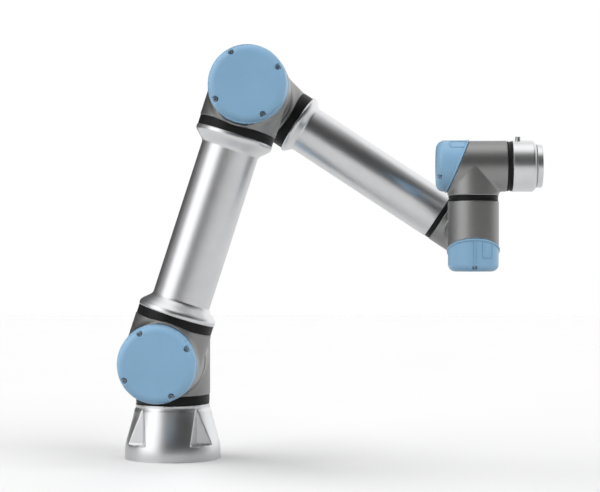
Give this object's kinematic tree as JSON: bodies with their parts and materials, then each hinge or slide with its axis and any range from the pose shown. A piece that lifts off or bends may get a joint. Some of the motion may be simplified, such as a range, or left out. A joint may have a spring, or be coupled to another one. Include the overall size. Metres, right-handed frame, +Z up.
{
  "type": "six-axis collaborative robot arm",
  "caption": "Jointed robot arm on a flared round base: satin metal tubes, round drive housings with blue domed lids, black seal rings and a round tool flange.",
  "frame": {"origin": "centre of the base mounting face", "axes": "+Z up along the base joint; +X along the plane that the arm reaches in; -Y the side that the shoulder joint is on"},
  "size_m": [0.6329, 0.29, 0.6245],
  "materials": {
    "satin_tube": "satin, clear anodised",
    "cast_housing": "satin, warm grey casting",
    "lid_plastic": "smooth moulded light blue plastic",
    "seal": "matt black",
    "drive_steel": "machined",
    "winding": "lacquered copper winding on a steel core",
    "circuit_board": "coated circuit board"
  },
  "bodies": {
    "base": {"base_bracket": "satin_tube", "base_cable_socket": "seal", "base_joint_output_hub": "drive_steel"},
    "shoulder_link": {"base_joint_housing": "cast_housing", "base_joint_lid": "lid_plastic", "base_joint_seal_ring": "seal", "base_joint_gear_ring": "drive_steel", "base_joint_stator": "winding", "base_joint_board": "circuit_board", "shoulder_joint_output_hub": "drive_steel"},
    "upper_arm_link": {"upper_arm_tube": "satin_tube", "upper_arm_lower_ring": "seal", "upper_arm_upper_ring": "seal", "shoulder_joint_housing": "cast_housing", "shoulder_joint_lid": "lid_plastic", "shoulder_joint_seal_ring": "seal", "shoulder_joint_gear_ring": "drive_steel", "shoulder_joint_stator": "winding", "shoulder_joint_board": "circuit_board", "elbow_joint_housing": "cast_housing", "elbow_joint_lid": "lid_plastic", "elbow_joint_seal_ring": "seal", "elbow_joint_gear_ring": "drive_steel", "elbow_joint_stator": "winding", "elbow_joint_board": "circuit_board"},
    "forearm_link": {"elbow_bracket": "cast_housing", "forearm_elbow_ring": "seal", "forearm_tube": "satin_tube", "forearm_wrist_ring": "seal", "elbow_joint_output_hub": "drive_steel", "wrist_1_joint_housing": "cast_housing", "wrist_1_joint_lid": "lid_plastic", "wrist_1_joint_seal_ring": "seal", "wrist_1_joint_gear_ring": "drive_steel", "wrist_1_joint_stator": "winding", "wrist_1_joint_board": "circuit_board"},
    "wrist_1_link": {"wrist_1_joint_output_hub": "drive_steel", "wrist_2_joint_housing": "cast_housing", "wrist_2_joint_lid": "lid_plastic", "wrist_2_joint_seal_ring": "seal", "wrist_2_joint_gear_ring": "drive_steel", "wrist_2_joint_stator": "winding", "wrist_2_joint_board": "circuit_board"},
    "wrist_2_link": {"wrist_2_joint_output_hub": "drive_steel", "wrist_3_joint_housing": "cast_housing", "wrist_3_joint_lid": "lid_plastic", "wrist_3_joint_seal_ring": "seal", "wrist_3_joint_gear_ring": "drive_steel", "wrist_3_joint_stator": "winding", "wrist_3_joint_board": "circuit_board"},
    "wrist_3_link": {"tool_flange": "satin_tube", "tool_connector": "drive_steel", "wrist_3_joint_output_hub": "drive_steel"},
    "base_joint_spindle": {"base_joint_rotor": "drive_steel"},
    "shoulder_joint_spindle": {"shoulder_joint_rotor": "drive_steel"},
    "elbow_joint_spindle": {"elbow_joint_rotor": "drive_steel"},
    "wrist_1_joint_spindle": {"wrist_1_joint_rotor": "drive_steel"},
    "wrist_2_joint_spindle": {"wrist_2_joint_rotor": "drive_steel"},
    "wrist_3_joint_spindle": {"wrist_3_joint_rotor": "drive_steel"}
  },
  "joints": [
    {"name": "base_joint", "type": "hinge", "parent": "base", "child": "shoulder_link", "pos_m": [0, 0, 0.1625], "axis": [0, 0, 1], "range_deg": [-360, 360]},
    {"name": "shoulder_joint", "type": "hinge", "parent": "shoulder_link", "child": "upper_arm_link", "pos_m": [0, -0.138, 0.1625], "axis": [0, -1, 0], "range_deg": [-252, 468]},
    {"name": "elbow_joint", "type": "hinge", "parent": "upper_arm_link", "child": "forearm_link", "pos_m": [0.13133, -0.138, 0.5667], "axis": [0, -1, 0], "range_deg": [-39.6, 250.4]},
    {"name": "wrist_1_joint", "type": "hinge", "parent": "forearm_link", "child": "wrist_1_link", "pos_m": [0.45876, -0.1333, 0.3508], "axis": [0, -1, 0], "range_deg": [-393.4, 326.6]},
    {"name": "wrist_2_joint", "type": "hinge", "parent": "wrist_1_link", "child": "wrist_2_link", "pos_m": [0.45876, -0.1333, 0.3508], "axis": [0, 0, 1], "range_deg": [-450, 270]},
    {"name": "wrist_3_joint", "type": "hinge", "parent": "wrist_2_link", "child": "wrist_3_link", "pos_m": [0.45876, -0.1333, 0.4505], "axis": [1, 0, 0], "range_deg": [-360, 360]},
    {"name": "base_joint_motor", "type": "hinge", "parent": "shoulder_link", "child": "base_joint_spindle", "pos_m": [0, 0, 0.1625], "axis": [0, 0, 1], "range_deg": [-36370, 36370]},
    {"name": "shoulder_joint_motor", "type": "hinge", "parent": "upper_arm_link", "child": "shoulder_joint_spindle", "pos_m": [0, -0.138, 0.1625], "axis": [0, -1, 0], "range_deg": [-25462, 47278]},
    {"name": "elbow_joint_motor", "type": "hinge", "parent": "upper_arm_link", "child": "elbow_joint_spindle", "pos_m": [0.13133, -0.138, 0.5667], "axis": [0, -1, 0], "range_deg": [-25300.4, 4009.6]},
    {"name": "wrist_1_joint_motor", "type": "hinge", "parent": "forearm_link", "child": "wrist_1_joint_spindle", "pos_m": [0.45876, -0.1333, 0.3508], "axis": [0, -1, 0], "range_deg": [-32996.6, 39743.4]},
    {"name": "wrist_2_joint_motor", "type": "hinge", "parent": "wrist_1_link", "child": "wrist_2_joint_spindle", "pos_m": [0.45876, -0.1333, 0.3508], "axis": [0, 0, 1], "range_deg": [-27280, 45460]},
    {"name": "wrist_3_joint_motor", "type": "hinge", "parent": "wrist_2_link", "child": "wrist_3_joint_spindle", "pos_m": [0.45876, -0.1333, 0.4505], "axis": [1, 0, 0], "range_deg": [-36370, 36370]}
  ],
  "couplings": [
    {"joint": "base_joint_motor", "follows": "base_joint", "ratio": 101},
    {"joint": "shoulder_joint_motor", "follows": "shoulder_joint", "ratio": 101},
    {"joint": "elbow_joint_motor", "follows": "elbow_joint", "ratio": -101},
    {"joint": "wrist_1_joint_motor", "follows": "wrist_1_joint", "ratio": -101},
    {"joint": "wrist_2_joint_motor", "follows": "wrist_2_joint", "ratio": -101},
    {"joint": "wrist_3_joint_motor", "follows": "wrist_3_joint", "ratio": -101}
  ]
}
